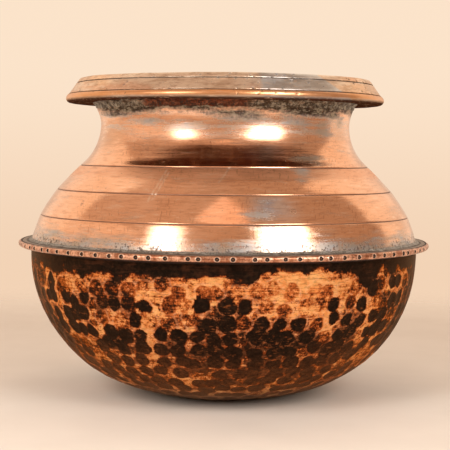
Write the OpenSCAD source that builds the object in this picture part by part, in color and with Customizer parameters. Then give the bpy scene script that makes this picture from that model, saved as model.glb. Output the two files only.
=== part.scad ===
// Hand-made copper water pot: a hammered bowl, a turned shoulder and neck, and a cast lip.
// The bowl's edge is rolled over the shoulder's flange and locked with a row of punch marks.
// The foot stands on z = 0 and the pot's axis is the Z axis. All sizes are in millimetres.

/* [Sheet] */
// Thickness of the bowl's copper sheet
bowl_t = 1.4; // [1:0.1:1.8]
// Thickness of the shoulder's copper sheet
shell_t = 1.2; // [0.8:0.1:1.6]

/* [Bowl] */
// Radius of the flat foot that the pot stands on
foot_r = 29; // [20:1:40]
// Radius of the shallow arc round the foot
base_arc = 120; // [100:1:140]
// Lean from the vertical where the base arc ends
base_lean = 70; // [66:1:74]
// Radius of the arc that turns the base up into the wall
haunch_arc = 93.5; // [85:0.5:100]
// Lean from the vertical where the haunch ends
haunch_lean = 5; // [3:1:8]
// Radius of the arc that closes the wall in towards the seam
wall_arc = 108; // [90:1:130]
// Inward lean of the wall at the seam
wall_tuck = 1.4; // [0:0.1:3]

/* [Seam] */
// How far the rolled seam stands out from the bowl's wall
seam_reach = 8.4; // [7:0.1:10]
// Radius inside the bend where the bowl's wall turns out
flange_bend = 1.5; // [1:0.1:2]
// Width of the bowl's edge that is turned over the shoulder's flange
hem_return = 3.4; // [2.5:0.1:3.8]
// Number of punch marks round the seam
punch_count = 87; // [60:1:110]
// Width of one punch mark
punch_w = 2.5; // [1.6:0.1:2.8]
// Depth of one punch mark
punch_depth = 0.8; // [0.3:0.1:0.9]
// How unevenly the punch marks are spaced, as a share of their pitch
punch_scatter = 0.21; // [0:0.01:0.3]

/* [Shoulder] */
// Distance from the seam's outer edge in to the bend in the shoulder's flange
shoulder_set_in = 7.5; // [7:0.1:7.8]
// Lean of the shoulder just above the seam
shoulder_lean = 14; // [12:0.5:18]
// Radius of the lowest band
band_1_arc = 135; // [110:5:170]
// Lean at the top of the lowest band
band_1_end = 22; // [20:0.5:24]
// Radius of the middle band
band_2_arc = 148; // [120:4:180]
// Lean at the foot of the middle band
band_2_start = 29.5; // [27:0.5:31]
// Lean at the top of the middle band
band_2_end = 37.5; // [36:0.5:39]
// Radius of the top band
band_3_arc = 260; // [220:10:300]
// Lean at the foot of the top band
band_3_start = 42; // [40:0.5:43]
// Lean at the top of the top band
band_3_end = 47; // [45:0.5:48]
// Radius of the three lines cut round the shoulder
line_cut_r = 0.5; // [0.3:0.05:0.6]

/* [Neck] */
// Straight part between the top band and the throat
throat_run = 3.6; // [2:0.2:6]
// Radius of the hollow throat
throat_arc = 34; // [31:1:39]
// Radius of the flare from the neck's narrowest place to the lip
flare_arc = 22; // [18:1:30]
// Lean of the flare where it meets the lip
flare_lean = 20.5; // [18:0.5:24]
// Straight part of the flare, which ends inside the lip
flare_run = 11.4; // [9:0.2:13]
// Length of the flare that is let into the lip
seat_run = 4; // [3:0.5:4.5]

/* [Lip] */
// Height of the lip's top face above the end of the neck
lip_rise = 12.7; // [11:0.1:14]
// How far the lip's bead stands out from the end of the neck
lip_reach = 18.1; // [17:0.1:20]
// Radius of the bead round the lip's lower edge
bead_r = 3; // [2.5:0.1:3.4]
// Height of the bead's centre above the end of the neck
bead_drop = -0.8; // [-1.6:0.1:-0.4]
// Lean of the lip's sloping face from the vertical
lip_lean = 35.8; // [32:0.2:38]
// Rounding of the lip's top edges
lip_round = 1.2; // [0.6:0.1:1.6]
// Depth of the hollow under the lip
lip_hollow = 1.6; // [1:0.1:2.2]
// Radius of the two lines cut round the lip
lip_line_r = 0.45; // [0.3:0.05:0.6]
// Place of the upper line, as a share of the way up the sloping face
upper_line_share = 0.7; // [0.5:0.02:0.8]

/* [Solder] */
// Leg of the solder fillet under the lip
lip_fillet = 4; // [2.5:0.1:4.6]
// Height of the solder fillet at the shoulder's foot
seam_fillet = 3; // [2:0.1:4]

/* [Hidden] */
ARC_STEP = 2.5;      // degrees of turn between the points of an arc
BEND_STEP = 10;      // the same on the small bends at the seam
WIDE_STEP = 1.2;     // the same on the bowl's and shoulder's large arcs
ROUND = 180;         // sides of a whole turn round the pot's axis
PUNCH_TURN = 47;     // degrees; the square of a mark's number times this sets how it is shifted
SHELL_BEND = 1;      // radius in the corner between the shoulder and its flange
NECK_COVER = 0.6;    // how far the lip reaches in over the end of the neck
BEAD_SWEEP = 68;     // degrees above level where the bead runs into the sloping face
BEAD_STEP = 8;       // degrees from there to the bead's next point
UNDER_PARTS = 12;    // straight parts of the hollow under the lip
FILLET_DIP = 0.5;    // how far a solder fillet's face is hollowed, both ways
COPPER = "#c8743f";
BRIGHT_COPPER = "#d98a57";
LIP_METAL = "#b98a5c";
TIN = "#a7a59c";

// A place on a sheet's outer side is [radius, height, lean]. The lean is the way that the sheet
// runs there, in degrees from straight up, and positive outwards.

// The points of an arc from place p to the lean `to`
function arc(p, radius, to, step) =
    let (n = max(2, ceil(abs(to - p[2]) / step)), way = sign(to - p[2]))
    [for (i = [1 : n])
        let (b = p[2] + (to - p[2]) * i / n)
        [p[0] + way * radius * (cos(p[2]) - cos(b)), p[1] + way * radius * (sin(b) - sin(p[2])), b]];

// The place at the end of a straight run from p
function run(p, length) = [p[0] + length * sin(p[2]), p[1] + length * cos(p[2]), p[2]];

// The same place with the sheet creased to another lean
function crease(p, lean) = [p[0], p[1], lean];

function last(places) = places[len(places) - 1];
function but_last(places) = [for (i = [0 : len(places) - 2]) places[i]];

// One place for both sides of a crease, so that the sheet's inner side turns there at one corner
function halfway(p, lean) = crease(p, (p[2] + lean) / 2);
function flat(places) = [for (p = places) [p[0], p[1]]];

// The sheet's inner side, thickness t behind its outer side
function inside(places, t) = [for (p = places) [p[0] - t * cos(p[2]), p[1] + t * sin(p[2])]];

function backwards(list) = [for (i = [len(list) - 1 : -1 : 0]) list[i]];

// The section of a sheet whose outer side is given
function sheet(places, t) = concat(flat(places), backwards(inside(places, t)));

// Points on a circle from one angle to another
function round_part(centre, radius, from, to, n) =
    [for (i = [0 : n]) let (a = from + (to - from) * i / n) centre + radius * [cos(a), sin(a)]];

// The bowl's outer side, from the axis to the seam's bend
bowl_foot = [[0, 0, 90], [foot_r, 0, 90]];
bowl_base = arc(last(bowl_foot), base_arc, base_lean, WIDE_STEP);
bowl_haunch = arc(last(bowl_base), haunch_arc, haunch_lean, WIDE_STEP);
bowl_wall = arc(last(bowl_haunch), wall_arc, -wall_tuck, WIDE_STEP);
seam_bend = arc(last(bowl_wall), flange_bend, 90, BEND_STEP);

// The seam: the bowl's flange, its roll round the shoulder's flange, and the edge turned back
roll_r = bowl_t + shell_t / 2;
roll_centre = [last(bowl_wall)[0] + seam_reach - roll_r, last(seam_bend)[1] + roll_r];
flange_end = [roll_centre[0], last(seam_bend)[1], 90];
roll = arc(flange_end, roll_r, -90, BEND_STEP);
hem_end = run(last(roll), hem_return);
bowl_side = concat(bowl_foot, bowl_base, bowl_haunch, bowl_wall, seam_bend, [flange_end], roll, [hem_end]);
seam_r = roll_centre[0] + roll_r;

// The shoulder's outer side, from the edge of its flange up to the end of the neck
shell_edge = [roll_centre[0], roll_centre[1] + shell_t / 2, -90];
shell_flange = run(shell_edge, shoulder_set_in - roll_r);
shell_bend = arc(shell_flange, SHELL_BEND, -shoulder_lean, BEND_STEP);
fillet_turn = seam_fillet * 180 / (PI * band_1_arc);
shoulder_foot = arc(last(shell_bend), band_1_arc, -shoulder_lean - fillet_turn, WIDE_STEP);
shoulder_1 = concat(shoulder_foot, arc(last(shoulder_foot), band_1_arc, -band_1_end, WIDE_STEP));
crease_1 = crease(last(shoulder_1), -band_2_start);
shoulder_2 = arc(crease_1, band_2_arc, -band_2_end, WIDE_STEP);
crease_2 = crease(last(shoulder_2), -band_3_start);
shoulder_3 = arc(crease_2, band_3_arc, -band_3_end, WIDE_STEP);
throat_start = run(last(shoulder_3), throat_run);
throat = arc(throat_start, throat_arc, 0, ARC_STEP);
flare = arc(last(throat), flare_arc, flare_lean, ARC_STEP);
seat_start = run(last(flare), flare_run - seat_run);
neck_end = run(last(flare), flare_run);
shell_side = concat(
    [shell_edge, shell_flange], shell_bend,
    but_last(shoulder_1), [halfway(last(shoulder_1), -band_2_start)],
    but_last(shoulder_2), [halfway(last(shoulder_2), -band_3_start)],
    shoulder_3, [throat_start], throat, flare, [seat_start, neck_end]);

// The lip: its bore is flush with the inside of the neck's end
neck_corner = last(inside(shell_side, shell_t));
bore_r = neck_corner[0] - NECK_COVER;
lip_top = neck_end[1] + lip_rise;
bead_centre = [neck_end[0] + lip_reach - bead_r, neck_end[1] + bead_drop];
// Where the sloping face leaves the bead, and where it reaches the top face
slope_foot = bead_centre + bead_r * [cos(BEAD_SWEEP), sin(BEAD_SWEEP)];
slope_top_r = slope_foot[0] - (lip_top - slope_foot[1]) * tan(lip_lean);
top_edge_angle = 90 - lip_lean;
edge_setback = lip_round * tan(top_edge_angle / 2);
outer_edge_centre = [slope_top_r - edge_setback, lip_top - lip_round];
upper_line = slope_foot + upper_line_share * ([slope_top_r, lip_top] - slope_foot);

// The hollow under the lip, from the bead in to the neck
hollow_span = bead_centre[0] - seat_start[0];
function hollow(s) =
    [bead_centre[0] - s * hollow_span,
     (1 - s) * (bead_centre[1] - bead_r) + s * seat_start[1] + 4 * lip_hollow * s * (1 - s)];
under_lip = [for (i = [0 : UNDER_PARTS]) hollow(i / UNDER_PARTS)];

function lip_section() = concat(
    [[bore_r, neck_corner[1]]],
    round_part([bore_r + lip_round, lip_top - lip_round], lip_round, 180, 90, 4),
    round_part(outer_edge_centre, lip_round, 90, 90 - top_edge_angle, 4),
    [slope_foot],
    round_part(bead_centre, bead_r, BEAD_SWEEP - BEAD_STEP, -90, 12),
    [for (i = [1 : UNDER_PARTS - 1]) under_lip[i]],
    [[seat_start[0], seat_start[1]], [neck_end[0], neck_end[1]], neck_corner]);

module lower_bowl() {
    ball_r = (pow(punch_w / 2, 2) + pow(punch_depth, 2)) / (2 * punch_depth);
    color(COPPER) difference() {
        rotate_extrude($fn = ROUND) polygon(sheet(bowl_side, bowl_t));
        for (i = [0 : punch_count - 1])
            rotate([0, 0, (i + punch_scatter * sin(i * i * PUNCH_TURN)) * 360 / punch_count])
                translate([seam_r + ball_r - punch_depth, 0, roll_centre[1]])
                    sphere(r = ball_r, $fn = 24);
    }
}

module upper_shell() {
    line_places = [last(shoulder_1), last(shoulder_2), last(shoulder_3)];
    color(BRIGHT_COPPER) rotate_extrude($fn = ROUND) difference() {
        polygon(sheet(shell_side, shell_t));
        for (p = line_places) translate([p[0], p[1]]) circle(r = line_cut_r, $fn = 16);
    }
}

module lip_ring() {
    color(LIP_METAL) rotate_extrude($fn = ROUND) difference() {
        polygon(lip_section());
        for (p = [slope_foot, upper_line]) translate(p) circle(r = lip_line_r, $fn = 16);
    }
}

// A hollow-faced fillet at the shoulder's foot, over the edge of the turned-back hem
module seam_solder() {
    top = last(shoulder_foot);
    hem_corner = [hem_end[0], hem_end[1]];
    dip = [(hem_corner[0] + top[0]) / 2 - FILLET_DIP, (hem_corner[1] + top[1]) / 2 - FILLET_DIP];
    color(TIN) rotate_extrude($fn = ROUND) polygon(concat(
        [[hem_end[0], shell_edge[1]], hem_corner, dip],
        backwards(flat(shoulder_foot)), backwards(flat(shell_bend)), [[shell_flange[0], shell_flange[1]]]));
}

// A hollow-faced fillet between the neck's flare and the hollow under the lip
module lip_solder() {
    foot = run(seat_start, -lip_fillet);
    roof = [for (p = under_lip) if (p[0] < seat_start[0] + lip_fillet) p];
    dip = [(foot[0] + roof[0][0]) / 2 - FILLET_DIP, (foot[1] + roof[0][1]) / 2 + FILLET_DIP];
    color(TIN) rotate_extrude($fn = ROUND) polygon(concat(
        [[foot[0], foot[1]]], backwards(roof), [dip]));
}

lower_bowl();
upper_shell();
lip_ring();
seam_solder();
lip_solder();
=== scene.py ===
"""The looks of a hand-made copper water pot, built round its CAD frame."""

import math

import bpy
import numpy as np
from mathutils import Matrix, Vector


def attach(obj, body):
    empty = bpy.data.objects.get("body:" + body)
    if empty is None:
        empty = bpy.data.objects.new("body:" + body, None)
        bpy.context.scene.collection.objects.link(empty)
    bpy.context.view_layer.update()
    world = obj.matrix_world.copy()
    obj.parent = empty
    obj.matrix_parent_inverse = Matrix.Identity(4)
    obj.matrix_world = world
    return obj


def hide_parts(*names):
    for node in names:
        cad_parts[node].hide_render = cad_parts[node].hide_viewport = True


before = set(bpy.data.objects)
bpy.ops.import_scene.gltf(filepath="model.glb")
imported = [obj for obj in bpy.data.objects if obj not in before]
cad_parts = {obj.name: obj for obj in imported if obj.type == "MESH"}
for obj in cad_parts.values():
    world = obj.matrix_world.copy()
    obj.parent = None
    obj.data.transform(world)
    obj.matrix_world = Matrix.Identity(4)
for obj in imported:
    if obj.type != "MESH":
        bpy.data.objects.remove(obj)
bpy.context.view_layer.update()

BODY = "root"
MM = 0.001

# The design's dimensions in millimetres and degrees, the same as the CAD's
BOWL_T, SHELL_T = 1.4, 1.2
FOOT_R, BASE_ARC, BASE_LEAN = 29.0, 120.0, 70.0
HAUNCH_ARC, HAUNCH_LEAN, WALL_ARC, WALL_TUCK = 93.5, 5.0, 108.0, 1.4
SEAM_REACH, FLANGE_BEND, HEM_RETURN, ROLL_R = 8.4, 1.5, 3.4, BOWL_T + SHELL_T / 2
PUNCHES, PUNCH_W, PUNCH_DEPTH, PUNCH_SCATTER, PUNCH_TURN = 87, 2.5, 0.8, 0.21, 47.0
SHOULDER_SET_IN, SHELL_BEND, SHOULDER_LEAN, SEAM_FILLET = 7.5, 1.0, 14.0, 3.0
BANDS = ((135.0, None, 22.0), (148.0, 29.5, 37.5), (260.0, 42.0, 47.0))
THROAT_RUN, THROAT_ARC, FLARE_ARC, FLARE_LEAN = 3.6, 34.0, 22.0, 20.5
FLARE_RUN, SEAT_RUN = 11.4, 4.0
LIP_RISE, LIP_REACH, BEAD_R, BEAD_DROP, LIP_LEAN = 12.7, 18.1, 3.0, -0.8, 35.8
LIP_ROUND, LIP_HOLLOW, NECK_COVER, UPPER_LINE = 1.2, 1.6, 0.6, 0.7
LIP_FILLET, FILLET_DIP, BEAD_SWEEP = 4.0, 0.5, 68.0

FINE = 0.4  # degrees of turn between the points of a drawn arc
SECTION_POINTS = 6000  # places along a section at which its spacing is worked out
SHARP = 38  # degrees between two faces above which their edge is drawn sharp


# ---- sections

def arc(place, radius, to, step=FINE):
    """The places after `place` [radius, height, lean] on an arc to another lean."""
    r, z, lean = place
    n = max(2, math.ceil(abs(to - lean) / step))
    b = np.radians(lean + (to - lean) * np.arange(1, n + 1) / n)
    way, a = math.copysign(1, to - lean), math.radians(lean)
    return np.stack([r + way * radius * (math.cos(a) - np.cos(b)),
                     z + way * radius * (np.sin(b) - math.sin(a)), np.degrees(b)], 1)


def run(place, length):
    r, z, lean = place
    a = math.radians(lean)
    return np.array([[r + length * math.sin(a), z + length * math.cos(a), lean]])


def lean_to(place, lean):
    return (place[0], place[1], lean)


def inner(places, t):
    a = np.radians(places[:, 2])
    return np.stack([places[:, 0] - t * np.cos(a), places[:, 1] + t * np.sin(a)], 1)


def circle_part(centre, radius, start, end, n):
    a = np.radians(np.linspace(start, end, n + 1))
    return np.stack([centre[0] + radius * np.cos(a), centre[1] + radius * np.sin(a)], 1)


def bowl_places():
    """The bowl's outer side up to the seam's bend, and the seam's after it."""
    foot = np.array([[0, 0, 90], [FOOT_R, 0, 90]], float)
    base = arc(foot[-1], BASE_ARC, BASE_LEAN)
    haunch = arc(base[-1], HAUNCH_ARC, HAUNCH_LEAN)
    wall = arc(haunch[-1], WALL_ARC, -WALL_TUCK)
    bend = arc(wall[-1], FLANGE_BEND, 90, 8)
    centre = (wall[-1][0] + SEAM_REACH - ROLL_R, bend[-1][1] + ROLL_R)
    flange = np.array([[centre[0], bend[-1][1], 90]])
    roll = arc(flange[-1], ROLL_R, -90, 9)
    hem = run(roll[-1], HEM_RETURN)
    body = np.concatenate([foot, base, haunch, wall])
    seam = np.concatenate([wall[-1:], bend, flange, roll, hem])
    return body, seam, centre


def shell_places(centre):
    """The shoulder's and neck's outer side, and what the lip and the solder need of it."""
    edge = (centre[0], centre[1] + SHELL_T / 2, -90)
    flange = run(edge, SHOULDER_SET_IN - ROLL_R)
    bend = arc(flange[-1], SHELL_BEND, -SHOULDER_LEAN, 8)
    turn = math.degrees(SEAM_FILLET / BANDS[0][0])
    foot = arc(bend[-1], BANDS[0][0], -SHOULDER_LEAN - turn)
    parts, cuts, last = [np.array([edge]), flange, bend, foot], [], foot[-1]
    for radius, start, end in BANDS:
        band = arc(last if start is None else lean_to(last, -start), radius, -end)
        parts.append(band)
        last = band[-1]
        cuts.append(last[:2])
    straight = run(last, THROAT_RUN)
    throat = arc(straight[-1], THROAT_ARC, 0)
    flare = arc(throat[-1], FLARE_ARC, FLARE_LEAN)
    seat = run(flare[-1], FLARE_RUN - SEAT_RUN)
    end = run(flare[-1], FLARE_RUN)
    parts += [straight, throat, flare, seat, end]
    return {"side": np.concatenate(parts), "cuts": cuts, "edge": edge, "flange": flange[-1],
            "bend": bend, "foot": foot, "seat": seat[-1], "end": end[-1]}


def lip_shape(shell):
    """The lip's closed section, and the places of the two lines cut round it."""
    end, seat = shell["end"], shell["seat"]
    corner = inner(end[None], SHELL_T)[0]
    bore = corner[0] - NECK_COVER
    top = end[1] + LIP_RISE
    bead = (end[0] + LIP_REACH - BEAD_R, end[1] + BEAD_DROP)
    sweep = math.radians(BEAD_SWEEP)
    foot = np.array([bead[0] + BEAD_R * math.cos(sweep), bead[1] + BEAD_R * math.sin(sweep)])
    slope_top = np.array([foot[0] - (top - foot[1]) * math.tan(math.radians(LIP_LEAN)), top])
    edge = 90 - LIP_LEAN
    setback = LIP_ROUND * math.tan(math.radians(edge / 2))
    outer = (slope_top[0] - setback, top - LIP_ROUND)
    s = np.linspace(0, 1, 33)[1:-1, None]
    low, end_low = np.array([bead[0], bead[1] - BEAD_R]), np.array(seat[:2])
    under = (1 - s) * low + s * end_low + np.concatenate([0 * s, 4 * LIP_HOLLOW * s * (1 - s)], 1)
    section = np.concatenate([
        [[bore, corner[1]]],
        circle_part((bore + LIP_ROUND, top - LIP_ROUND), LIP_ROUND, 180, 90, 8),
        circle_part(outer, LIP_ROUND, 90, 90 - edge, 6),
        [foot],
        circle_part(bead, BEAD_R, BEAD_SWEEP - 4, -90, 26),
        under, [seat[:2]], [end[:2]], [corner]])
    return section, [foot, foot + UPPER_LINE * (slope_top - foot)], under


# ---- meshes

def resample(points, spacing, focus=(), corner=14):
    """Points along a section at about `spacing` mm, closer within each (place, reach, spacing)
    of `focus`, and with every corner sharper than `corner` degrees kept."""
    points = np.asarray(points, float)[:, :2]
    points = points[np.append(True, np.hypot(*np.diff(points, axis=0).T) > 1e-7)]
    way, s = np.diff(points, axis=0), along(points)
    fine = np.linspace(0, s[-1], SECTION_POINTS)
    x, z = np.interp(fine, s, points[:, 0]), np.interp(fine, s, points[:, 1])
    gap = np.full(fine.shape, float(spacing))
    for place, reach, close in focus:
        d = np.hypot(x - place[0], z - place[1])
        gap = np.minimum(gap, close + (spacing - close) * np.clip((d - reach) / (2 * reach), 0, 1))
    count = np.append(0, np.cumsum(np.diff(fine) / gap[1:]))
    at = np.interp(np.linspace(0, count[-1], max(3, math.ceil(count[-1])) + 1), count, fine)
    turn = np.degrees(np.diff(np.unwrap(np.arctan2(way[:, 1], way[:, 0]))))
    for c in s[1:-1][np.abs(turn) > corner]:
        k = np.abs(at - c).argmin()
        if 0 < k < len(at) - 1:
            at[k] = c
    return np.stack([np.interp(at, s, points[:, 0]), np.interp(at, s, points[:, 1])], 1)


def along(section):
    """The distance along a section to each of its points."""
    return np.append(0, np.cumsum(np.hypot(*np.diff(section, axis=0).T)))


def outward(section, closed):
    """The unit normal at each point of a section, on the metal's outer side."""
    if closed:
        way = np.roll(section, -1, 0) - np.roll(section, 1, 0)
    else:
        way = np.gradient(section, axis=0)
    way /= np.maximum(np.hypot(*way.T), 1e-9)[:, None]
    normal = np.stack([way[:, 1], -way[:, 0]], 1)
    x, z = section.T
    area = np.sum(x * np.roll(z, -1) - np.roll(x, -1) * z)
    return normal if area > 0 else -normal


def turned(section, columns):
    """Every point [rows, columns, 3] of a section [rows, 1 or columns, 2] turned round the axis."""
    turn = 2 * math.pi * np.arange(columns) / columns
    r, z = section[..., 0], section[..., 1]
    x = r * np.cos(turn)
    return np.stack([x, r * np.sin(turn), np.broadcast_to(z, x.shape)], -1)


def revolve(name, section, columns, closed, lift, attributes, materials, inside=None):
    """A closed mesh turned from a section in mm. `lift` [rows, columns] moves the points along
    the normal, in mm. `inside` [rows] marks the rows that take the second material."""
    rows = len(section)
    normal = outward(section, closed)
    moved = section[:, None] + lift[..., None] * normal[:, None]
    co = turned(moved, columns).reshape(-1, 3) * MM
    k = np.arange(rows) if closed else np.arange(1, rows - 2)
    grid = np.arange(rows * columns).reshape(rows, columns)
    here, above = grid[k], grid[(k + 1) % rows]
    quads = [here, np.roll(here, -1, 1), np.roll(above, -1, 1), above]
    quads = np.stack(quads, -1).reshape(-1, 4)
    triangles, triangle_row = np.zeros((0, 3), int), np.zeros(0, int)
    if not closed:  # the first and last rows are single points on the axis
        first, last = grid[0, 0], grid[-1, 0]
        a = [np.full(columns, first), np.roll(grid[1], -1), grid[1]]
        b = [np.full(columns, last), grid[-2], np.roll(grid[-2], -1)]
        triangles = np.concatenate([np.stack(a, -1), np.stack(b, -1)])
        triangle_row = np.repeat([0, rows - 2], columns)
        co[first, :2] = co[last, :2] = 0
    p = co[quads]
    volume = np.einsum("ij,ij->i", p[:, 0], np.cross(p[:, 1], p[:, 2])).sum()
    volume += np.einsum("ij,ij->i", p[:, 0], np.cross(p[:, 2], p[:, 3])).sum()
    if volume < 0:
        quads, triangles = quads[:, ::-1], triangles[:, ::-1]
    used = np.zeros(len(co), bool)
    used[quads.ravel()] = True
    used[triangles.ravel()] = True
    new = np.cumsum(used) - 1
    faces = [tuple(f) for f in new[triangles].tolist()] + [tuple(f) for f in new[quads].tolist()]
    mesh = bpy.data.meshes.new(name)
    mesh.from_pydata(co[used].tolist(), [], faces)
    if inside is not None:
        face_row = np.concatenate([triangle_row, np.repeat(k, columns)])
        mesh.polygons.foreach_set("material_index", inside[face_row].astype(np.int32))
    mesh.polygons.foreach_set("use_smooth", np.ones(len(faces), bool))
    for key, value in attributes.items():
        layer = mesh.attributes.new(key, "FLOAT", "POINT")
        value = np.broadcast_to(value, (rows, columns)).reshape(-1)[used]
        layer.data.foreach_set("value", value.astype(np.float32))
    mesh.set_sharp_from_angle(angle=math.radians(SHARP))
    for material in materials:
        mesh.materials.append(material)
    piece = bpy.data.objects.new(name, mesh)
    bpy.context.scene.collection.objects.link(piece)
    return piece


def waves(points, length, count, seed):
    """Smooth unevenness from -1 to 1 about, whose waves are `length` mm long."""
    rng = np.random.default_rng(seed)
    total = np.zeros(points.shape[:-1])
    for _ in range(count):
        way = rng.normal(size=3)
        way *= 2 * math.pi / (length * rng.uniform(0.7, 1.5) * np.linalg.norm(way))
        total += np.cos(points @ way + rng.uniform(0, 2 * math.pi))
    return total / math.sqrt(count)


def smooth(x, low, high):
    t = np.clip((x - low) / (high - low), 0, 1)
    return t * t * (3 - 2 * t)


# ---- materials

class Nodes:
    """Short names for adding nodes to a tree."""

    def __init__(self, tree, coordinates="Generated"):
        self.tree = tree
        self.place = self.add("TexCoord").outputs[coordinates]

    def add(self, kind, inputs=None, **settings):
        node = self.tree.nodes.new("ShaderNode" + kind)
        for key, value in settings.items():
            setattr(node, key, value)
        for key, value in (inputs or {}).items():
            if isinstance(value, bpy.types.NodeSocket):
                self.tree.links.new(value, node.inputs[key])
            else:
                node.inputs[key].default_value = value
        return node

    def swing(self, noise, size):
        """Noise about zero instead of about a half."""
        return self.math("MULTIPLY_ADD", noise, size, -size / 2)

    def math(self, operation, a, b=0.0, c=0.0):
        return self.add("Math", {0: a, 1: b, 2: c}, operation=operation).outputs[0]

    def fold(self, operation, values):
        """One operation over all of the values, from the first to the last."""
        out = values[0]
        for value in values[1:]:
            out = self.math(operation, out, value)
        return out

    def times(self, *values):
        return self.fold("MULTIPLY", values)

    def plus(self, *values):
        return self.fold("ADD", values)

    def most(self, *values):
        return self.fold("MAXIMUM", values)

    def uneven(self, x, *noises):
        """x with each (noise, size) of `noises` added, swinging about zero."""
        for noise, size in noises:
            x = self.plus(x, self.swing(noise, size))
        return x

    def less(self, a, share=1.0):
        """1 - a * share"""
        return self.math("MULTIPLY_ADD", a, -share, 1.0)

    def step(self, x, low, high, to_low=0.0, to_high=1.0):
        """A smooth step of x from to_low at low to to_high at high. low may be above high."""
        if low > high:
            low, high, to_low, to_high = high, low, to_high, to_low
        return self.add("MapRange", {0: x, 1: low, 2: high, 3: to_low, 4: to_high},
                        interpolation_type="SMOOTHSTEP").outputs[0]

    def mix(self, share, a, b):
        four = lambda v: (*v, 1.0) if isinstance(v, tuple) and len(v) == 3 else v
        return self.add("Mix", {0: share, 6: four(a), 7: four(b)}, data_type="RGBA").outputs[2]


LINE_FADE = (0.00050, 0.00018)  # m from a cut line's middle: where it starts to darken, and is dark
OTHER_INPUTS = {"specular": "Specular IOR Level", "tint": "Specular Tint", "alpha": "Alpha"}


class Maker(Nodes):
    """Builds one material out of nodes."""

    def __init__(self, name):
        self.material = bpy.data.materials.new(name)
        self.material.use_nodes = True
        self.material.node_tree.nodes.clear()
        super().__init__(self.material.node_tree, "Object")
        self.z = self.add("SeparateXYZ", {0: self.place}).outputs[2]

    def noise(self, size_mm, detail=3.0, rough=0.55, stretch=(1, 1, 1), shift=0.0):
        """Noise from 0 to 1 whose blobs are about size_mm across."""
        away = (shift, shift * 0.7, shift * 1.3)
        place = self.add("Mapping", {0: self.place, 1: away, 3: stretch})
        inputs = {"Vector": place.outputs[0], "Scale": 1000.0 / size_mm, "Detail": detail,
                  "Roughness": rough}
        return self.add("TexNoise", inputs).outputs[0]

    def rings(self, size_mm, detail=2.0, shift=0.0):
        """Noise in rings round the pot's axis, as a turning tool leaves."""
        return self.noise(size_mm, detail, 0.6, (0.004, 0.004, 1.0), shift)

    def lines_cut(self, cuts):
        """1 on the thin lines that are cut round the pot at these (radius, height), in mm."""
        line = None
        for _, height in cuts:
            near = self.math("ABSOLUTE", self.math("SUBTRACT", self.z, float(height) * MM))
            near = self.step(near, *LINE_FADE)
            line = near if line is None else self.most(line, near)
        return line

    def layer(self, colour, noise, low, high, share, tone):
        """`tone` laid over a colour at this share, where the noise steps from low to high."""
        return self.mix(self.times(self.step(noise, low, high), share), colour, tone)

    def attribute(self, name):
        return self.add("Attribute", attribute_name=name).outputs["Fac"]

    def bump(self, height, mm, normal=None):
        inputs = {"Height": height, "Distance": mm * MM, "Strength": 1.0}
        if normal is not None:
            inputs["Normal"] = normal
        return self.add("Bump", inputs).outputs[0]

    def finish(self, colour, roughness, metallic, normal, **others):
        inputs = {"Base Color": colour, "Roughness": roughness, "Metallic": metallic, "Normal": normal}
        for key, value in others.items():
            inputs[OTHER_INPUTS[key]] = value
        shader = self.add("BsdfPrincipled", inputs)
        self.add("OutputMaterial", {0: shader.outputs[0]})
        return self.material


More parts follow.
